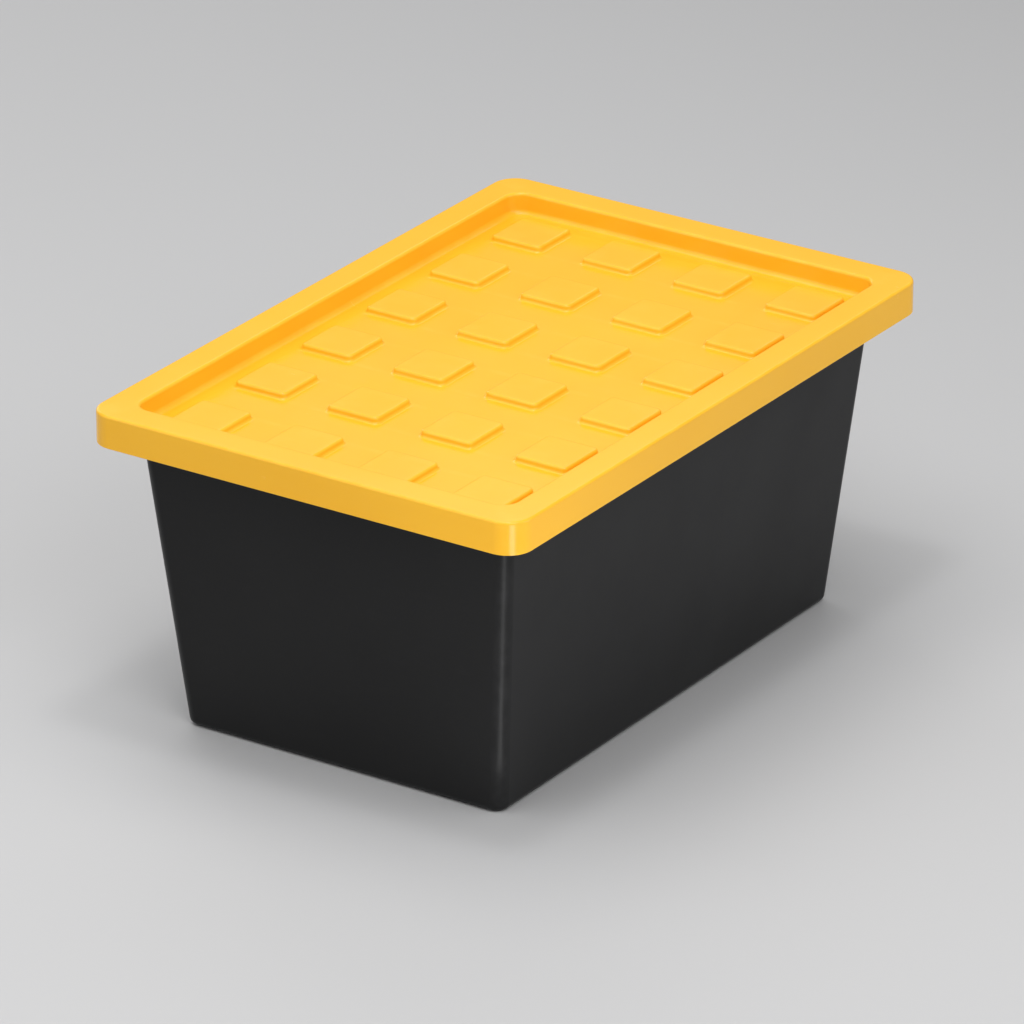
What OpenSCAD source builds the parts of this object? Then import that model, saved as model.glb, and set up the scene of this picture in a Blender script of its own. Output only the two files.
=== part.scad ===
// Stackable storage bin: a tapered tub with an out-turned rim, and a press-on lid
// with a sunken panel that the foot of the next bin stands in.
// Millimetres. The origin is on the floor under the middle of the tub.
// +X is across the bin, +Y along it and +Z up.

/* [Bin] */
// Width over the lid, across the short sides
lid_w = 523; // [490:1:575]
// Length over the lid, along the long sides
lid_l = 775; // [700:1:850]
// Height from the floor to the top of the lid
bin_h = 362; // [320:1:400]

/* [Tub] */
// Width of the tub at the floor, before its bottom edge is rounded
base_w = 391; // [350:1:400]
// Length of the tub at the floor, before its bottom edge is rounded
base_l = 632; // [580:1:640]
// Lean of the long side walls, in degrees from upright
side_draft = 5.2; // [3:0.1:5.2]
// Lean of the end walls, in degrees from upright
end_draft = 5.7; // [3:0.1:5.7]
// Thickness of the tub's walls
tub_t = 2.6; // [2:0.1:3.5]
// Radius of the tub's upright corners
tub_corner_r = 15; // [12:0.5:18]
// Radius of the edge between the walls and the foot
foot_edge_r = 9; // [4:0.5:10]
// Height of the foot ring under the floor of the tub
foot_h = 3; // [2:0.5:5]
// Width of the foot ring
foot_ring_w = 30; // [20:1:40]

/* [Rim] */
// Play between the tub and the lid, up and down
lid_gap = 0.4; // [0.3:0.05:0.8]
// Play between the rim's lip and the lid's skirt
skirt_gap = 1.2; // [0.9:0.1:2]
// Distance that the lip reaches below the lid's skirt
lip_below_skirt = 0.6; // [0:0.1:2]
// Spacing of the stiffening ribs inside the rim
rib_pitch = 82; // [60:1:90]
// Depth of a stiffening rib below the rim's flange
rib_depth = 12; // [8:1:16]
// Thickness of a stiffening rib
rib_t = 2.2; // [1.5:0.1:3]
// Clear width of the hand grip in the middle of each end
grip_w = 150; // [110:5:170]

/* [Lid] */
// Thickness of the lid
lid_t = 2.5; // [2:0.1:3]
// Radius of the lid's upright corners
lid_corner_r = 28; // [20:1:36]
// Height of the skirt outside the rim
skirt_h = 36; // [30:1:42]
// Width of the raised border along the long sides
border_side_w = 34; // [33.5:0.5:38]
// Width of the raised border along the ends
border_end_w = 37; // [36:0.5:42]
// Depth of the sunken panel below the border
panel_depth = 24; // [16:1:26]
// Radius of the sunken panel's corners
panel_corner_r = 18; // [12:1:30]
// How far a snap bead stands proud of the inside of the skirt
bead_proud = 0.8; // [0.4:0.1:0.8]
// Length of a snap bead
bead_l = 70; // [40:5:100]

/* [Pads] */
// Pads across the lid
pad_columns = 4; // [3:1:4]
// Pads along the lid
pad_rows = 6; // [4:1:6]
// Spacing of the pads across the lid
pad_pitch_x = 114.5; // [100:0.5:115]
// Spacing of the pads along the lid
pad_pitch_y = 118.5; // [105:0.5:120]
// Width of a pad
pad_w = 63; // [50:1:70]
// Length of a pad
pad_l = 64; // [50:1:75]
// Height of a pad above the sunken panel
pad_h = 7; // [4:0.5:8]
// Radius of a pad's upright corners
pad_r = 6; // [4:0.5:10]

/* [Hidden] */
$fn = 64;
hull_fn = 32;   // Segments of a full circle in the hulls
over = 1;       // How far a cutter runs past the face that it opens
lap = 0.5;      // How far a rib or bead runs into the wall that carries it

// Heights
skirt_z = bin_h - skirt_h;
panel_z = bin_h - panel_depth;
ledge_z = panel_z - lid_t - lid_gap;
flange_z = bin_h - lid_t - lid_gap;
lip_z = skirt_z - lip_below_skirt;
floor_z = tub_t;

// Sunken panel of the lid
panel_w = lid_w - 2 * border_side_w;
panel_l = lid_l - 2 * border_end_w;

// Rim of the tub, from the inside out: ledge, upstand, flange and lip
upstand_in = lid_t + lid_gap;
lip_in = lid_t + skirt_gap;

// Foot ring
foot_in_w = base_w - 2 * foot_edge_r - 2 * foot_ring_w;
foot_in_l = base_l - 2 * foot_edge_r - 2 * foot_ring_w;
foot_in_r = 12;

// Size of the tub's outside at a height, with its walls carried on straight
function wall_w(z) = base_w + 2 * z * tan(side_draft);
function wall_l(z) = base_l + 2 * z * tan(end_draft);

// Places that are evenly spaced about the middle
function spaced(count, pitch) = [for (i = [0 : count - 1]) (i - (count - 1) / 2) * pitch];

// Rounded rectangle about the origin
module rounded_rect(w, l, r) {
    square([w - 2 * r, l], center = true);
    square([w, l - 2 * r], center = true);
    for (x = [-1, 1], y = [-1, 1])
        translate([x * (w / 2 - r), y * (l / 2 - r)]) circle(r);
}

// Upright block with rounded corners, from z0 to z1
module block(w, l, r, z0, z1) {
    translate([0, 0, z0]) linear_extrude(z1 - z0) rounded_rect(w, l, r);
}

// Ring of even wall thickness, measured inwards from its outside size
module ring(w, l, r, t, z0, z1) {
    difference() {
        block(w, l, r, z0, z1);
        block(w - 2 * t, l - 2 * t, r - t, z0 - over, z1 + over);
    }
}

// Quarter-round edge of a disc of radius r, turned about its axis
module soft_disc(r, edge) {
    rotate_extrude($fn = hull_fn)
        intersection() {
            square([r, edge]);
            union() {
                square([r - edge, edge]);
                translate([r - edge, edge]) circle(edge, $fn = hull_fn);
            }
        }
}

// Tapered shape of the tub from z0 up past z1, inset by a wall thickness, with its bottom edge rounded
module tapered(z0, z1, inset, edge) {
    r = tub_corner_r - inset;
    hull()
        for (x = [-1, 1], y = [-1, 1]) {
            translate([
                x * (wall_w(z0 + edge) / 2 - inset - r),
                y * (wall_l(z0 + edge) / 2 - inset - r),
                z0
            ]) soft_disc(r, edge);
            translate([
                x * (wall_w(z1) / 2 - inset - r),
                y * (wall_l(z1) / 2 - inset - r),
                z1
            ]) cylinder(h = tub_t / 4, r = r, $fn = hull_fn);
        }
}

// Rim: a ledge, an upstand, a flat flange and a lip that turns down outside
module rim() {
    up_w = panel_w + 2 * upstand_in + 2 * tub_t;
    up_l = panel_l + 2 * upstand_in + 2 * tub_t;
    up_r = panel_corner_r + upstand_in + tub_t;
    lip_w = lid_w - 2 * lip_in;
    lip_l = lid_l - 2 * lip_in;
    lip_r = lid_corner_r - lip_in;
    block(up_w, up_l, up_r, ledge_z - tub_t, ledge_z);
    ring(up_w, up_l, up_r, tub_t, ledge_z - tub_t, flange_z);
    ring(lip_w, lip_l, lip_r, tub_t, lip_z, flange_z);
    difference() {
        block(lip_w, lip_l, lip_r, flange_z - tub_t, flange_z);
        block(up_w - 2 * tub_t, up_l - 2 * tub_t, up_r - tub_t, flange_z - tub_t - over, flange_z + over);
    }
    rim_ribs(up_w, up_l, lip_w, lip_l);
}

// Ribs that tie the upstand to the lip, left out of the grip at each end
module rim_ribs(up_w, up_l, lip_w, lip_l) {
    rib_z0 = flange_z - tub_t - rib_depth;
    rib_h = rib_depth + lap;
    side_run = (lip_w - up_w) / 2 - tub_t + 2 * lap;
    end_run = (lip_l - up_l) / 2 - tub_t + 2 * lap;
    for (side = [-1, 1]) {
        for (y = spaced(8, rib_pitch))
            translate([side * ((lip_w + up_w) / 4 - tub_t / 2), y, rib_z0 + rib_h / 2])
                cube([side_run, rib_t, rib_h], center = true);
        for (x = [-1, 1], i = [0, 1])
            translate([
                x * (grip_w / 2 + rib_t + i * rib_pitch),
                side * ((lip_l + up_l) / 4 - tub_t / 2),
                rib_z0 + rib_h / 2
            ]) cube([rib_t, end_run, rib_h], center = true);
    }
}

// Open tub on a foot ring, with its rim
module tub() {
    color("#2c2d2f")
    difference() {
        union() {
            tapered(0, ledge_z - tub_t / 2, 0, foot_edge_r);
            rim();
        }
        difference() {
            tapered(floor_z, ledge_z + over, tub_t, foot_edge_r - tub_t);
            block(foot_in_w + 2 * tub_t, foot_in_l + 2 * tub_t, foot_in_r + tub_t, 0, floor_z + foot_h);
        }
        block(foot_in_w, foot_in_l, foot_in_r, -over, foot_h);
    }
}

// One pad, hollow from below like the sheet that it is pressed from
module pad_shape(inset, z0, z1) {
    for (x = spaced(pad_columns, pad_pitch_x), y = spaced(pad_rows, pad_pitch_y))
        translate([x, y, 0])
            block(pad_w - 2 * inset, pad_l - 2 * inset, pad_r - inset, z0, z1);
}

// Half-round beads inside the skirt: one at each end and two on each long side
module snap_beads() {
    bead_z = skirt_z + 6;
    inside_w = lid_w - 2 * lid_t;
    inside_l = lid_l - 2 * lid_t;
    bead_r = bead_proud + lap;
    for (side = [-1, 1]) {
        translate([0, side * (inside_l / 2 + lap), bead_z])
            rotate([0, 90, 0]) cylinder(h = bead_l, r = bead_r, center = true);
        for (y = [-1, 1])
            translate([side * (inside_w / 2 + lap), y * lid_l / 4, bead_z])
                rotate([90, 0, 0]) cylinder(h = bead_l, r = bead_r, center = true);
    }
}

// Press-on lid: raised border, skirt, and a sunken panel with raised pads
module lid() {
    color("#f5b92e")
    difference() {
        union() {
            difference() {
                block(lid_w, lid_l, lid_corner_r, skirt_z, bin_h);
                block(panel_w, panel_l, panel_corner_r, panel_z, bin_h + over);
                difference() {
                    block(lid_w - 2 * lid_t, lid_l - 2 * lid_t, lid_corner_r - lid_t,
                        skirt_z - over, bin_h - lid_t);
                    block(panel_w + 2 * lid_t, panel_l + 2 * lid_t, panel_corner_r + lid_t,
                        panel_z - lid_t, bin_h);
                }
            }
            pad_shape(0, panel_z - lap, panel_z + pad_h);
            snap_beads();
        }
        pad_shape(lid_t, panel_z - lid_t - over, panel_z + pad_h - lid_t);
    }
}

tub();
lid();
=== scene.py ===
"""Stackable storage bin: a black tapered tub with an out-turned rim, and a yellow press-on lid.

Both mouldings are lofted from rounded rectangles along a section with real fillets, in metres,
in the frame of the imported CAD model. +X is across the bin, +Y along it and +Z up.
"""
import math

import bmesh
import bpy
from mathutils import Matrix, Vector
from mathutils.geometry import tessellate_polygon


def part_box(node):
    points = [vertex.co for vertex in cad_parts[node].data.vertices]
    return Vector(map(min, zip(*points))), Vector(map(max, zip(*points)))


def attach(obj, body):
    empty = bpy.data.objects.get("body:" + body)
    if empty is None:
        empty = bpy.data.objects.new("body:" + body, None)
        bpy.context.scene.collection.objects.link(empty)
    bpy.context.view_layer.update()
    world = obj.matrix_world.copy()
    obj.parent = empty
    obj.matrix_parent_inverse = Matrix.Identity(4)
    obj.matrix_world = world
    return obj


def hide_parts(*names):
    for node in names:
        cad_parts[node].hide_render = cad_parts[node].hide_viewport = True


MM = 0.001

# ---------------------------------------------------------------- the frame

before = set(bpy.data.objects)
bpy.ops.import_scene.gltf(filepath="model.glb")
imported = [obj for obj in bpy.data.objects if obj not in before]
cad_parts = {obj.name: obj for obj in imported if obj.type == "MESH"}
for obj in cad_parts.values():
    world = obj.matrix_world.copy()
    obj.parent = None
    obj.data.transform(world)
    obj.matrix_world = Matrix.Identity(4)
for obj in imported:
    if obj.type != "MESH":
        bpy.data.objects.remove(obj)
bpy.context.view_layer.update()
tub_low, tub_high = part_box("tub")
lid_low, lid_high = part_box("lid")

# ---------------------------------------------------------------- sizes, in metres

# Lid: its outside comes from the frame
LID_HALF_W = lid_high.x
LID_HALF_L = lid_high.y
LID_TOP = lid_high.z
SKIRT_BOTTOM = lid_low.z
LID_T = 2.5 * MM
LID_GAP = 0.4 * MM          # play between the tub and the lid, up and down
LID_CORNER = 28 * MM
BORDER_SIDE = 34 * MM
BORDER_END = 37 * MM
PANEL_DEPTH = 24 * MM
PANEL_CORNER = 18 * MM
BORDER_EDGE = 3 * MM        # rounding of the border's outer edge
PANEL_RIM_EDGE = 3.5 * MM   # rounding of the border's inner edge
PANEL_FILLET = 6 * MM       # fillet between the sunken panel and its wall
PANEL_MARGIN = 7 * MM       # strip of the sunken panel that is lofted with its wall
SKIRT_EDGE = 0.8 * MM       # rounding of the skirt's bottom edges
BEAD_PROUD = 0.8 * MM
BEAD_LENGTH = 70 * MM
BEAD_RISE = 6 * MM          # height of a bead above the skirt's bottom edge
BEAD_SIDES = 12             # faces round a bead
BEAD_TAPER = ((-1, 0.15), (-0.96, 0.7), (-0.9, 1), (0.9, 1), (0.96, 0.7), (1, 0.15))  # place, size

# Pads
PAD_COLUMNS, PAD_ROWS = 4, 6
PAD_PITCH_X = 114.5 * MM
PAD_PITCH_Y = 118.5 * MM
PAD_HALF_W = 31.5 * MM
PAD_HALF_L = 32 * MM
PAD_RISE = 7 * MM
PAD_CORNER = 6 * MM
PAD_EDGE = 3 * MM           # rounding round a pad's top
PAD_FILLET = 3.2 * MM       # fillet round a pad's foot
PAD_LEAN = 0.6 * MM         # how far a pad's side leans in from foot to top
PAD_UNDER_EDGE = 0.8 * MM   # both roundings on a pad's hollow side
PAD_FOOT_MARGIN = 0.4 * MM  # flat strip outside the fillet
PAD_TOP_MARGIN = 0.2 * MM   # flat strip inside the rounding

# Tub: the lip's outside and the flange's height come from the frame
BASE_HALF_W = 195.5 * MM
BASE_HALF_L = 316 * MM
SIDE_SLOPE = math.tan(math.radians(5.2))
END_SLOPE = math.tan(math.radians(5.7))
TUB_T = 2.6 * MM
TUB_CORNER = 15 * MM
FOOT_EDGE = 9 * MM
FOOT_RISE = 3 * MM
FOOT_RING = 30 * MM
FOOT_CORNER = 12 * MM
FOOT_LEAN = 0.6 * MM        # how far the foot ring's inner side leans in
FLOOR_MARGIN = 8 * MM       # strip of the floor that is lofted with the foot ring
LEDGE = LID_TOP - PANEL_DEPTH - LID_T - LID_GAP
UPSTAND_GAP = LID_T + LID_GAP
LIP_BELOW_SKIRT = 0.6 * MM
RIBS_PER_SIDE = 8
RIB_LAP = 0.5 * MM          # how far a rib runs into the wall that carries it
RIB_T = 2.2 * MM
RIB_PITCH = 82 * MM
RIB_DEPTH = 12 * MM
GRIP_HALF_W = 75 * MM

CORNER_STEPS = 12           # faces round a quarter of an upright corner
FILLET_STEPS = 5            # faces across a fillet
SHARP_ANGLE = math.radians(40)
CORNER_HIGHLIGHT_PAINT = 0.7           # painted highlight: lighter colour up an upright corner, against 1 of wear on a rounded edge

# ---------------------------------------------------------------- sections and rings


def link_object(name, data):
    """A new object in the scene."""
    made = bpy.data.objects.new(name, data)
    bpy.context.scene.collection.objects.link(made)
    return made


def station(x, y, z, corner, fillet=0.0):
    """One corner of a section: half sizes, height, radius of the upright corner, rounding."""
    return (x, y, z, corner, fillet)


def rounded(section):
    """The section with each corner that has a rounding turned into an arc, and how worn each point is."""
    made = [(*section[0][:4], 0.0)]
    for before, corner, after in zip(section, section[1:], section[2:]):
        x, y, z, r, fillet = corner
        to_before = Vector((before[0] - x, before[2] - z)).normalized()
        to_after = Vector((after[0] - x, after[2] - z)).normalized()
        turn = math.pi - to_before.angle(to_after)
        if fillet <= 0 or turn < 1e-3:
            made.append((*corner[:4], 0.0))
            continue
        reach = fillet * math.tan(turn / 2)
        weight = math.cos(turn / 2)
        for i in range(FILLET_STEPS + 1):
            t = i / FILLET_STEPS
            a, b, c = (1 - t) ** 2, 2 * weight * t * (1 - t), t ** 2
            shift = (a * reach * to_before + c * reach * to_after) / (a + b + c)
            made.append((x + shift.x, y + shift.x, z + shift.y, r + shift.x, math.sin(math.pi * t)))
    made.append((*section[-1][:4], 0.0))
    return made


def ring_points(half_w, half_l, z, r, centre=(0.0, 0.0)):
    """Points round a rounded rectangle, anticlockwise from above, and how far each is round a corner."""
    points = []
    for quarter, (sx, sy) in enumerate(((1, 1), (-1, 1), (-1, -1), (1, -1))):
        cx, cy = sx * (half_w - r), sy * (half_l - r)
        for i in range(CORNER_STEPS + 1):
            a = math.pi / 2 * (quarter + i / CORNER_STEPS)
            place = Vector((centre[0] + cx + r * math.cos(a), centre[1] + cy + r * math.sin(a), z))
            points.append((place, math.sin(math.pi * i / CORNER_STEPS)))
    return points


def skin(bm, rings):
    """Joins each ring of vertices to the next with faces."""
    for low, high in zip(rings, rings[1:]):
        for i, a in enumerate(low):
            j = (i + 1) % len(low)
            bm.faces.new((a, low[j], high[j], high[i]))


def loft(bm, section, centre=(0.0, 0.0)):
    """Skins the rings of a section and returns their vertices, ring by ring."""
    edge = bm.verts.layers.float["edge"]
    rings = []
    for x, y, z, r, worn in rounded(section):
        rings.append([])
        for place, turned in ring_points(x, y, z, r, centre):
            v = bm.verts.new(place)
            # the edge value: wear on rounded edges, and a painted highlight up the upright corners
            v[edge] = max(worn, CORNER_HIGHLIGHT_PAINT * turned)
            rings[-1].append(v)
    skin(bm, rings)
    return rings


def plate(bm, outline, holes):
    """Fills a flat outline round its holes."""
    loops = [outline] + holes
    verts = [v for loop in loops for v in loop]
    for tri in tessellate_polygon([[v.co for v in loop] for loop in loops]):
        bm.faces.new([verts[i] for i in tri])


def new_mesh():
    """An empty bmesh whose points say how far they lie on a rounded edge, and how much painted highlight
    they get up an upright corner.
    """
    bm = bmesh.new()
    bm.verts.layers.float.new("edge")
    return bm


def box_island(bm, low, high):
    """A closed box between two corners."""
    xs, ys, zs = zip(low, high)
    v = [bm.verts.new((x, y, z)) for z in zs for y in ys for x in xs]
    for f in ((0, 1, 3, 2), (4, 6, 7, 5), (0, 4, 5, 1), (1, 5, 7, 3), (3, 7, 6, 2), (2, 6, 4, 0)):
        bm.faces.new([v[i] for i in f])


def finish_mesh(bm, name, body, node, material):
    """Turns a bmesh into a piece that rides on a body and stands for a CAD node."""
    bmesh.ops.recalc_face_normals(bm, faces=bm.faces)
    for face in bm.faces:
        face.smooth = True
    for edge in bm.edges:
        edge.smooth = edge.calc_face_angle(0) < SHARP_ANGLE
    mesh = bpy.data.meshes.new(name)
    bm.to_mesh(mesh)
    bm.free()
    piece = link_object(name, mesh)
    mesh.materials.append(material)
    normals = piece.modifiers.new("even_normals", "WEIGHTED_NORMAL")
    normals.keep_sharp = True
    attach(piece, body)
    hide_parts(node)


# ---------------------------------------------------------------- tub


def wall_half(z):
    """Half width and half length of the tub's outside at a height."""
    return BASE_HALF_W + z * SIDE_SLOPE, BASE_HALF_L + z * END_SLOPE


def tub_section():
    """From the middle of the floor, up inside, over the rim and down outside to the foot."""
    floor_x, floor_y = wall_half(TUB_T)
    top_x, top_y = wall_half(LEDGE)
    under_x, under_y = wall_half(LEDGE - TUB_T)
    foot_x = BASE_HALF_W - FOOT_EDGE - FOOT_RING
    foot_y = BASE_HALF_L - FOOT_EDGE - FOOT_RING
    up_x = LID_HALF_W - BORDER_SIDE + UPSTAND_GAP
    up_y = LID_HALF_L - BORDER_END + UPSTAND_GAP
    up_r = PANEL_CORNER + UPSTAND_GAP
    lip_x, lip_y = tub_high.x, tub_high.y
    lip_r = LID_CORNER - (LID_HALF_W - lip_x)
    flange = tub_high.z
    lip_bottom = SKIRT_BOTTOM - LIP_BELOW_SKIRT
    t = TUB_T
    m = FLOOR_MARGIN
    inner_r = TUB_CORNER - t
    return [
        station(foot_x + t - m, foot_y + t - m, t + FOOT_RISE, FOOT_CORNER + t - m),
        station(foot_x + t, foot_y + t, t + FOOT_RISE, FOOT_CORNER + t, 2 * MM),
        station(foot_x + t + 1 * MM, foot_y + t + 1 * MM, t, FOOT_CORNER + t + 1 * MM, 1.5 * MM),
        station(floor_x - t, floor_y - t, t, inner_r, FOOT_EDGE - t),
        station(top_x - t, top_y - t, LEDGE, inner_r, 2.4 * MM),
        station(up_x, up_y, LEDGE, up_r, 1.6 * MM),
        station(up_x, up_y, flange, up_r, 1.3 * MM),
        station(lip_x, lip_y, flange, lip_r, 2.4 * MM),
        station(lip_x, lip_y, lip_bottom, lip_r, 0.9 * MM),
        station(lip_x - t, lip_y - t, lip_bottom, lip_r - t, 0.9 * MM),
        station(lip_x - t, lip_y - t, flange - t, lip_r - t, 1 * MM),
        station(up_x + t, up_y + t, flange - t, up_r + t, 1 * MM),
        station(up_x + t, up_y + t, LEDGE - t, up_r + t, 2.4 * MM),
        station(under_x, under_y, LEDGE - t, TUB_CORNER, 2 * MM),
        station(BASE_HALF_W, BASE_HALF_L, 0, TUB_CORNER, FOOT_EDGE),
        station(foot_x, foot_y, 0, FOOT_CORNER, 1.2 * MM),
        station(foot_x - FOOT_LEAN, foot_y - FOOT_LEAN, FOOT_RISE, FOOT_CORNER, 1.2 * MM),
        station(foot_x - m, foot_y - m, FOOT_RISE, FOOT_CORNER + FOOT_LEAN - m),
    ]


def spaced(count, pitch):
    """Places that are evenly spaced about the middle."""
    return [(i - (count - 1) / 2) * pitch for i in range(count)]


def add_ribs(bm):
    """Stiffening ribs between the rim's upstand and its lip, left out of the hand grips."""
    up_x = LID_HALF_W - BORDER_SIDE + UPSTAND_GAP + TUB_T - RIB_LAP
    up_y = LID_HALF_L - BORDER_END + UPSTAND_GAP + TUB_T - RIB_LAP
    lip_x, lip_y = tub_high.x - TUB_T + RIB_LAP, tub_high.y - TUB_T + RIB_LAP
    top = tub_high.z - TUB_T + RIB_LAP
    bottom = top - RIB_LAP - RIB_DEPTH
    h = RIB_T / 2
    for y in spaced(RIBS_PER_SIDE, RIB_PITCH):
        box_island(bm, (up_x, y - h, bottom), (lip_x, y + h, top))
        box_island(bm, (-lip_x, y - h, bottom), (-up_x, y + h, top))
    first = GRIP_HALF_W + RIB_T
    for x in (first, first + RIB_PITCH, -first, -first - RIB_PITCH):
        box_island(bm, (x - h, up_y, bottom), (x + h, lip_y, top))
        box_island(bm, (x - h, -lip_y, bottom), (x + h, -up_y, top))


def make_tub(material):
    """The tub's one piece."""
    bm = new_mesh()
    rings = loft(bm, tub_section())
    bm.faces.new(rings[0])
    bm.faces.new(rings[-1])
    add_ribs(bm)
    finish_mesh(bm, "tub_moulding", "tub", "tub", material)


# ---------------------------------------------------------------- lid


def lid_section():
    """From the sunken panel up over the border and down the skirt, then back underneath."""
    panel_x = LID_HALF_W - BORDER_SIDE
    panel_y = LID_HALF_L - BORDER_END
    floor = LID_TOP - PANEL_DEPTH
    t = LID_T
    m = PANEL_MARGIN
    return [
        station(panel_x - m, panel_y - m, floor, PANEL_CORNER - m),
        station(panel_x, panel_y, floor, PANEL_CORNER, PANEL_FILLET),
        station(panel_x, panel_y, LID_TOP, PANEL_CORNER, PANEL_RIM_EDGE),
        station(LID_HALF_W, LID_HALF_L, LID_TOP, LID_CORNER, BORDER_EDGE),
        station(LID_HALF_W, LID_HALF_L, SKIRT_BOTTOM, LID_CORNER, SKIRT_EDGE),
        station(LID_HALF_W - t, LID_HALF_L - t, SKIRT_BOTTOM, LID_CORNER - t, SKIRT_EDGE),
        station(LID_HALF_W - t, LID_HALF_L - t, LID_TOP - t, LID_CORNER - t, 1 * MM),
        station(panel_x + t, panel_y + t, LID_TOP - t, PANEL_CORNER + t, 1.2 * MM),
        station(panel_x + t, panel_y + t, floor - t, PANEL_CORNER + t, PANEL_FILLET + t),
        station(panel_x - m, panel_y - m, floor - t, PANEL_CORNER - m),
    ]


def pad_section(z, inset, edge, fillet):
    """One pad's side from the plate it stands on to its flat top, inset for the hollow side."""
    x, y, r = PAD_HALF_W - inset, PAD_HALF_L - inset, PAD_CORNER - inset
    out = fillet + PAD_FOOT_MARGIN
    lean = PAD_LEAN
    flat = lean + edge + PAD_TOP_MARGIN
    return [
        station(x + out, y + out, z, r + out),
        station(x, y, z, r, fillet),
        station(x - lean, y - lean, z + PAD_RISE, r - lean, edge),
        station(x - flat, y - flat, z + PAD_RISE, r - flat),
    ]


def bead(bm, centre, along):
    """A snap bead with tapered ends, sunk half way into the skirt."""
    along, up = Vector(along), Vector((0, 0, 1))
    across = along.cross(up)
    turns = [math.tau * i / BEAD_SIDES for i in range(BEAD_SIDES)]
    rings = []
    for place, part in BEAD_TAPER:
        middle = Vector(centre) + along * place * BEAD_LENGTH / 2
        rings.append([
            bm.verts.new(middle + part * BEAD_PROUD * (across * math.cos(a) + up * math.sin(a)))
            for a in turns
        ])
    skin(bm, rings)
    bm.faces.new(rings[0])
    bm.faces.new(rings[-1])


def add_beads(bm):
    """One bead inside the skirt at each end and two on each long side."""
    z = SKIRT_BOTTOM + BEAD_RISE
    x, y = LID_HALF_W - LID_T, LID_HALF_L - LID_T
    for side in (-1, 1):
        bead(bm, (0, side * y, z), (1, 0, 0))
        for half in (-1, 1):
            bead(bm, (side * x, half * LID_HALF_L / 2, z), (0, 1, 0))


def make_lid(material):
    """The lid's one piece, with both sides of its sheet."""
    bm = new_mesh()
    rings = loft(bm, lid_section())
    floor = LID_TOP - PANEL_DEPTH
    sides = (
        (rings[0], pad_section(floor, 0, PAD_EDGE, PAD_FILLET)),
        (rings[-1], pad_section(floor - LID_T, LID_T, PAD_UNDER_EDGE, PAD_UNDER_EDGE)),
    )
    for outline, section in sides:
        holes = []
        for y in spaced(PAD_ROWS, PAD_PITCH_Y):
            for x in spaced(PAD_COLUMNS, PAD_PITCH_X):
                pad = loft(bm, section, (x, y))
                bm.faces.new(pad[-1])
                holes.append(pad[0])
        plate(bm, outline, holes)
    add_beads(bm)
    finish_mesh(bm, "lid_moulding", "lid", "lid", material)


# ---------------------------------------------------------------- materials


class Nodes:
    """A new material and short ways to add and join its nodes."""

    def __init__(self, name):
        self.material = bpy.data.materials.new(name)
        self.material.use_nodes = True
        self.tree = self.material.node_tree
        self.shader = self.tree.nodes["Principled BSDF"]
        self.place = self.add("ShaderNodeTexCoord").outputs["Object"]

    def add(self, kind, **settings):
        """A new node with its settings."""
        node = self.tree.nodes.new(kind)
        for key, value in settings.items():
            setattr(node, key, value)
        return node

    def join(self, source, socket):
        """Links a socket, or sets a number on one."""
        if isinstance(source, (int, float)):
            socket.default_value = source
        else:
            self.tree.links.new(source, socket)

    def noise(self, scale, detail=3, roughness=0.5, stretch=None):
        """Noise of a scale per metre, drawn out along an axis where stretch says so."""
        node = self.add("ShaderNodeTexNoise")
        node.inputs["Scale"].default_value = scale
        node.inputs["Detail"].default_value = detail
        node.inputs["Roughness"].default_value = roughness
        place = self.place
        if stretch:
            mapping = self.add("ShaderNodeMapping")
            mapping.inputs["Scale"].default_value = stretch
            mapping.inputs["Rotation"].default_value = (0.1, 0.05, 0.5)
            self.join(place, mapping.inputs["Vector"])
            place = mapping.outputs["Vector"]
        self.join(place, node.inputs["Vector"])
        return node.outputs["Fac"]

    def span(self, value, low, high, to_low, to_high):
        """Maps low to high onto another range, and holds it there."""
        node = self.add("ShaderNodeMapRange")
        for name, v in (("From Min", low), ("From Max", high), ("To Min", to_low), ("To Max", to_high)):
            node.inputs[name].default_value = v
        self.join(value, node.inputs["Value"])
        return node.outputs["Result"]

    def math(self, operation, a, b):
        """A sum of two numbers or sockets."""
        node = self.add("ShaderNodeMath", operation=operation)
        self.join(a, node.inputs[0])
        self.join(b, node.inputs[1])
        return node.outputs["Value"]

    def mix(self, factor, a, b):
        """Two colours mixed, each a tuple or a socket."""
        node = self.add("ShaderNodeMix", data_type="RGBA")
        self.join(factor, node.inputs["Factor"])
        for value, socket in ((a, node.inputs[6]), (b, node.inputs[7])):
            if isinstance(value, tuple):
                socket.default_value = (*value, 1)
            else:
                self.tree.links.new(value, socket)
        return node.outputs[2]

    def bump(self, height, distance, normal=None):
        """A normal bent by a height, on top of another normal where there is one."""
        node = self.add("ShaderNodeBump")
        node.inputs["Distance"].default_value = distance
        self.join(height, node.inputs["Height"])
        if normal:
            self.join(normal, node.inputs["Normal"])
        return node.outputs["Normal"]

    def edge_wear_and_corner_highlight(self):
        """How worn a rounded edge is, with the painted highlight up the upright corners: the mesh's own
        edge value, broken up by noise.
        """
        edge = self.add("ShaderNodeAttribute", attribute_name="edge").outputs["Fac"]
        patches = self.span(self.noise(38, 4, 0.6), 0.42, 0.62, 0.15, 1)
        return self.math("MULTIPLY", edge, patches)


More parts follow.
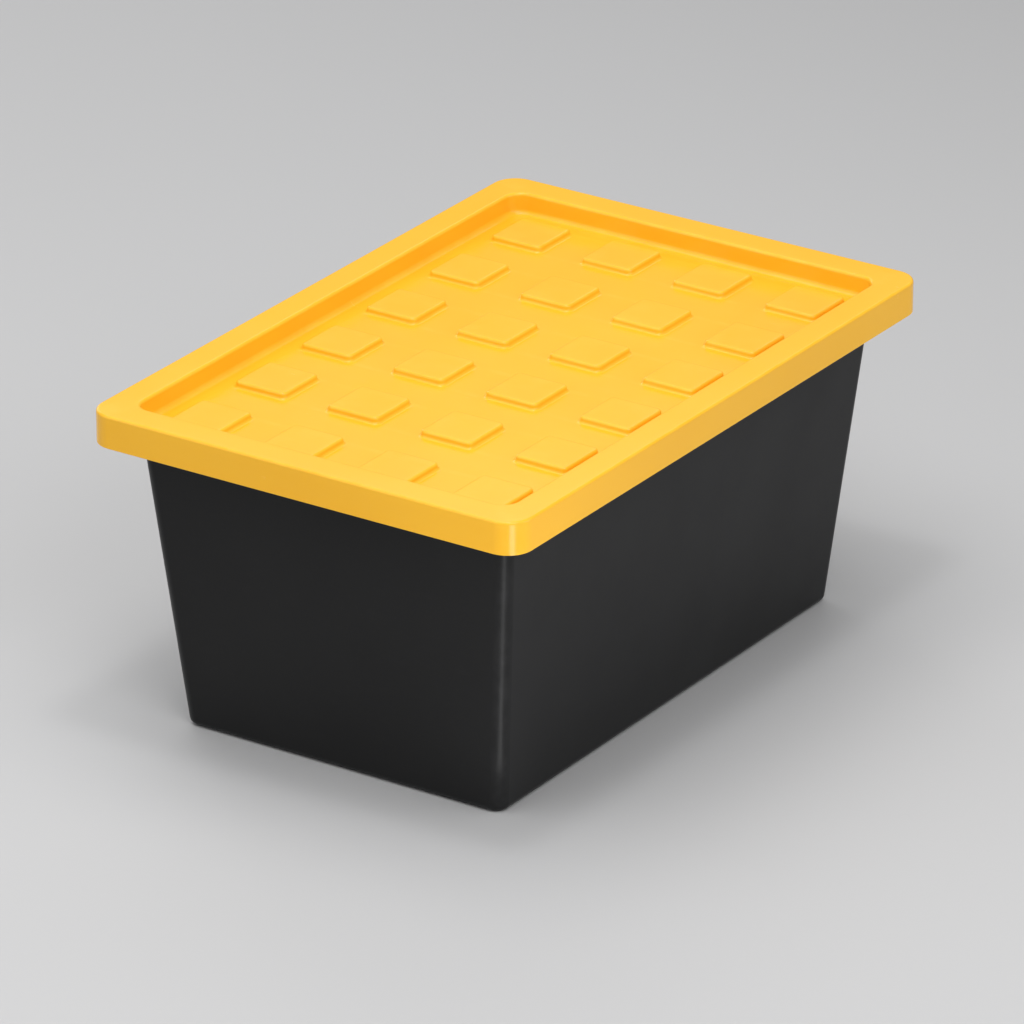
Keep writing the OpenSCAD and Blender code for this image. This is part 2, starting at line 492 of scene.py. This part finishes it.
def moulded_plastic(name, colour, deep, worn, roughness, specular, grain, grain_height, wave):
    """Injection-moulded plastic: fine grain, slow waves of the wall, scuffs, worn edges and a painted
    highlight up the upright corners.
    """
    n = Nodes(name)
    cloud = n.noise(5, 3, 0.5)
    speck = n.noise(900, 2, 0.6)
    scuff = n.span(n.noise(26, 6, 0.72, stretch=(1, 7, 3)), 0.56, 0.7, 0, 1)
    edge = n.edge_wear_and_corner_highlight()
    body = n.mix(n.span(cloud, 0.35, 0.65, 0, 1), colour, deep)
    body = n.mix(n.span(speck, 0.6, 0.75, 0, 0.18), body, worn)
    body = n.mix(n.math("MULTIPLY", scuff, 0.04), body, worn)
    # worn colour on rounded edges, and a painted highlight up the upright corners
    body = n.mix(n.math("MULTIPLY", edge, 0.35), body, worn)
    n.join(body, n.shader.inputs["Base Color"])
    gloss = n.span(n.noise(11, 4, 0.6), 0.3, 0.7, roughness - 0.035, roughness + 0.035)
    gloss = n.math("ADD", gloss, n.math("MULTIPLY", scuff, 0.06))
    n.join(gloss, n.shader.inputs["Roughness"])
    n.shader.inputs["Specular IOR Level"].default_value = specular
    slow = n.bump(n.noise(4.5, 1, 0.4), wave)
    n.join(n.bump(n.noise(grain, 2, 0.55), grain_height, slow), n.shader.inputs["Normal"])
    return n.material


def tub_plastic():
    """Charcoal polypropylene with a satin grain."""
    return moulded_plastic(
        "tub_charcoal", (0.0155, 0.0156, 0.0159), (0.0137, 0.0137, 0.0141), (0.042, 0.042, 0.043),
        roughness=0.34, specular=0.11, grain=1100, grain_height=0.00004, wave=0.0018)


def lid_plastic():
    """Golden yellow polypropylene, smoother than the tub."""
    return moulded_plastic(
        "lid_golden", (0.95, 0.5, 0.023), (0.93, 0.475, 0.019), (0.97, 0.58, 0.06),
        roughness=0.2, specular=0.36, grain=420, grain_height=0.000014, wave=0.001)


# ---------------------------------------------------------------- stage, light and camera

VIEW_AZIMUTH = 33.52      # degrees from looking along +Y, towards -X
VIEW_ELEVATION = 24.02
VIEW_DISTANCE = 8.872
VIEW_LENS = 300           # mm on a 36 mm sensor
VIEW_HEIGHT = 0.17        # height of the point that the camera looks at
AIM_HEIGHT = 0.2          # height of the point that the softboxes look at

# Name, azimuth in degrees, distance, height, width, length, power in watts
SOFT_BOXES = (
    ("overhead", -25, 0.6, 3.2, 3.0, 3.0, 66),
    ("key", 58, 3.0, 2.6, 2.6, 1.8, 46),
    ("left_fill", -30, 3.6, 1.3, 3.2, 2.3, 26),
    ("right_fill", 108, 3.4, 1.1, 2.0, 1.6, 23),
    ("rear_fill", -115, 3.2, 1.3, 1.6, 1.6, 11),
    ("back_panel", 213.5, 2.7, 2.35, 3.0, 1.1, 12),
    ("glint", 33, 0.5, 3.0, 0.35, 0.35, 9),
)

# Cards on the floor: reach from the tub's near corner, length, width
CORNER_CARDS = ((0.13, 0.14, 0.05), (0.29, 0.18, 0.11), (0.53, 0.3, 0.2), (0.84, 0.32, 0.3))
CARD_START_X, CARD_START_Y = 0.195, -0.315
CARD_AZIMUTH = 50
CARD_HEIGHT = 0.004
CARD_POWER = 16           # watts per square metre


def make_stage():
    """A plain pale floor."""
    bpy.ops.mesh.primitive_plane_add(size=60)
    floor = bpy.context.object
    floor.name = "floor"
    material = bpy.data.materials.new("pale_floor")
    material.use_nodes = True
    shader = material.node_tree.nodes["Principled BSDF"]
    shader.inputs["Base Color"].default_value = (0.54, 0.54, 0.545, 1)
    shader.inputs["Roughness"].default_value = 0.55
    shader.inputs["Specular IOR Level"].default_value = 0.3
    floor.data.materials.append(material)


def area_light(name, place, width, length, power):
    """A rectangular light that the camera doesn't see."""
    light = bpy.data.lights.new(name, "AREA")
    light.shape = "RECTANGLE"
    light.size = width
    light.size_y = length
    light.energy = power
    lamp = link_object(name, light)
    lamp.location = place
    lamp.visible_camera = False
    return lamp


def soft_box(name, azimuth, distance, height, width, tall, power):
    """A softbox at an azimuth like the camera's, in degrees, that looks at the bin."""
    a = math.radians(azimuth)
    place = Vector((math.sin(a) * distance, -math.cos(a) * distance, height))
    lamp = area_light(name, place, width, tall, power)
    lamp.rotation_euler = (Vector((0, 0, AIM_HEIGHT)) - place).to_track_quat("-Z", "Y").to_euler()


def corner_cards():
    """Lights flat on the floor off the near corner, wider further out: one even highlight up it."""
    a = math.radians(CARD_AZIMUTH)
    for number, (reach, length, width) in enumerate(CORNER_CARDS):
        place = (CARD_START_X + math.sin(a) * reach, CARD_START_Y - math.cos(a) * reach, CARD_HEIGHT)
        lamp = area_light("corner_card_%d" % number, place, width, length, CARD_POWER * width * length)
        lamp.rotation_euler = (math.pi, 0, a)


def make_light():
    """A dim even world, the softboxes and the corner's cards."""
    world = bpy.data.worlds.new("soft_room")
    world.use_nodes = True
    background = world.node_tree.nodes["Background"]
    background.inputs["Color"].default_value = (1, 1, 1, 1)
    background.inputs["Strength"].default_value = 0.28
    bpy.context.scene.world = world
    for box in SOFT_BOXES:
        soft_box(*box)
    corner_cards()


def make_camera():
    """A long lens that looks at the bin's near corner from above."""
    target = Vector((0, 0, VIEW_HEIGHT))
    a, e = math.radians(VIEW_AZIMUTH), math.radians(VIEW_ELEVATION)
    back = Vector((math.sin(a) * math.cos(e), -math.cos(a) * math.cos(e), math.sin(e)))
    camera = link_object("camera", bpy.data.cameras.new("camera"))
    camera.location = target + back * VIEW_DISTANCE
    camera.rotation_euler = (-back).to_track_quat("-Z", "Y").to_euler()
    camera.data.lens = VIEW_LENS
    camera.data.clip_end = 100
    bpy.context.scene.camera = camera


make_camera()
make_stage()
make_light()
make_tub(tub_plastic())
make_lid(lid_plastic())
bpy.context.scene.view_settings.view_transform = "Standard"
